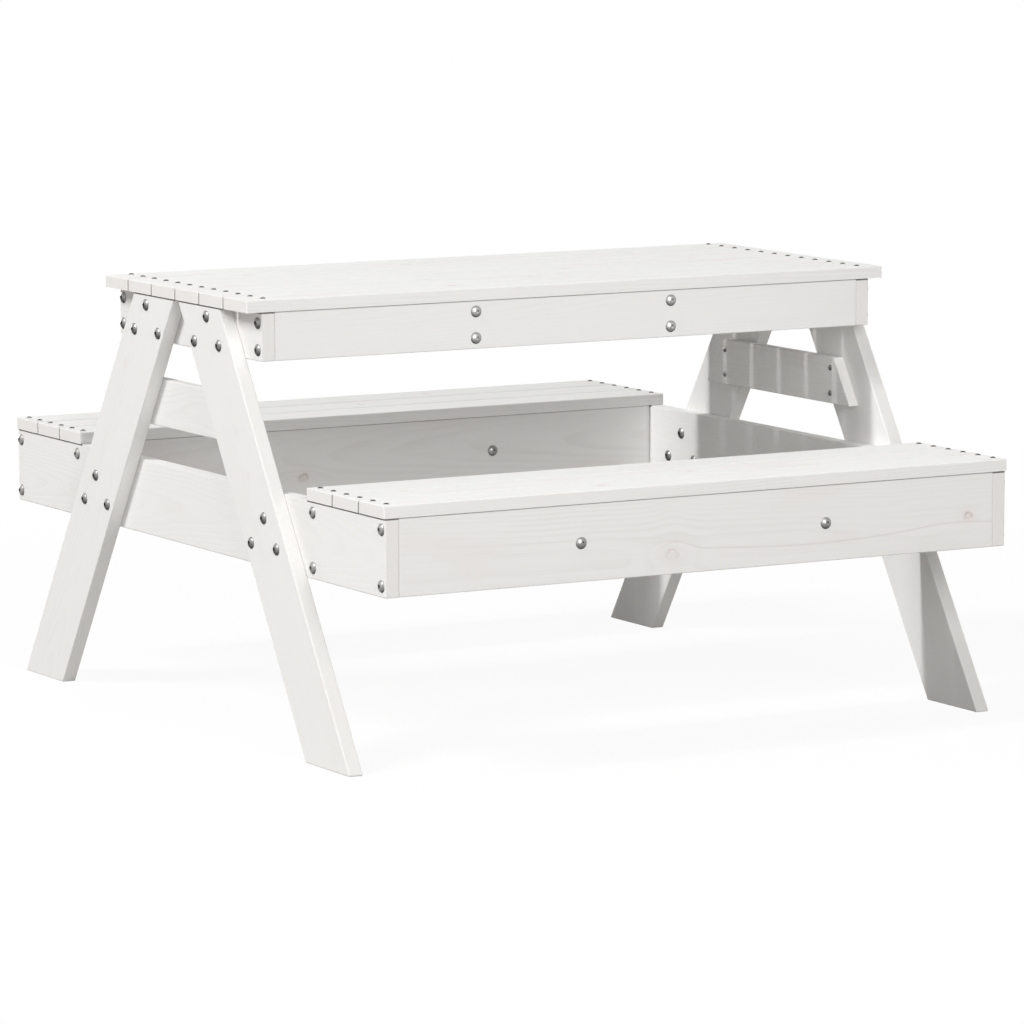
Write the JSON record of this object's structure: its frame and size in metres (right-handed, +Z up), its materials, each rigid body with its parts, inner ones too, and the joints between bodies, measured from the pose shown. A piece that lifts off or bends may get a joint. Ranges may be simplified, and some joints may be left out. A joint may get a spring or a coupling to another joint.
{
  "type": "kids picnic table",
  "caption": "Small picnic table with splayed legs, a slatted top and two attached slatted bench seats, made of white-washed pine boards joined with steel screws and bolts.",
  "frame": {"origin": "on the ground, under the middle of the tabletop", "axes": "+X along the slats, +Y across from the front seat to the back seat, +Z up"},
  "size_m": [0.9514, 1.0478, 0.5621],
  "materials": {
    "white_washed_pine": "satin",
    "steel_fasteners": "satin"
  },
  "bodies": {
    "root": {"apron_corner_screws_left": "steel_fasteners", "apron_corner_screws_right": "steel_fasteners", "back_seat_inner_board": "white_washed_pine", "back_seat_outer_board": "white_washed_pine", "back_seat_screws_left": "steel_fasteners", "back_seat_screws_right": "steel_fasteners", "back_seat_slat_1": "white_washed_pine", "back_seat_slat_2": "white_washed_pine", "back_seat_slat_3": "white_washed_pine", "back_seat_spacer_left": "white_washed_pine", "back_seat_spacer_right": "white_washed_pine", "back_spacer_screws": "steel_fasteners", "batten_screws_back": "steel_fasteners", "batten_screws_front": "steel_fasteners", "brace_screws_left": "steel_fasteners", "brace_screws_right": "steel_fasteners", "end_apron_left": "white_washed_pine", "end_apron_right": "white_washed_pine", "end_board_left": "white_washed_pine", "end_board_right": "white_washed_pine", "front_seat_inner_board": "white_washed_pine", "front_seat_outer_board": "white_washed_pine", "front_seat_screws_left": "steel_fasteners", "front_seat_screws_right": "steel_fasteners", "front_seat_slat_1": "white_washed_pine", "front_seat_slat_2": "white_washed_pine", "front_seat_slat_3": "white_washed_pine", "front_seat_spacer_left": "white_washed_pine", "front_seat_spacer_right": "white_washed_pine", "front_spacer_screws": "steel_fasteners", "leg_back_left": "white_washed_pine", "leg_back_right": "white_washed_pine", "leg_brace_left": "white_washed_pine", "leg_brace_right": "white_washed_pine", "leg_front_left": "white_washed_pine", "leg_front_right": "white_washed_pine", "long_apron_back": "white_washed_pine", "long_apron_front": "white_washed_pine", "lower_leg_bolts_left": "steel_fasteners", "lower_leg_bolts_right": "steel_fasteners", "lower_sleeve_nuts_left": "steel_fasteners", "lower_sleeve_nuts_right": "steel_fasteners", "seat_board_screws_left": "steel_fasteners", "seat_board_screws_right": "steel_fasteners", "table_batten_left": "white_washed_pine", "table_batten_right": "white_washed_pine", "tabletop_screws_left": "steel_fasteners", "tabletop_screws_right": "steel_fasteners", "tabletop_slat_1": "white_washed_pine", "tabletop_slat_2": "white_washed_pine", "tabletop_slat_3": "white_washed_pine", "tabletop_slat_4": "white_washed_pine", "tabletop_slat_5": "white_washed_pine", "tabletop_slat_6": "white_washed_pine", "upper_leg_bolts_left": "steel_fasteners", "upper_leg_bolts_right": "steel_fasteners", "upper_sleeve_nuts_left": "steel_fasteners", "upper_sleeve_nuts_right": "steel_fasteners"}
  },
  "joints": []
}
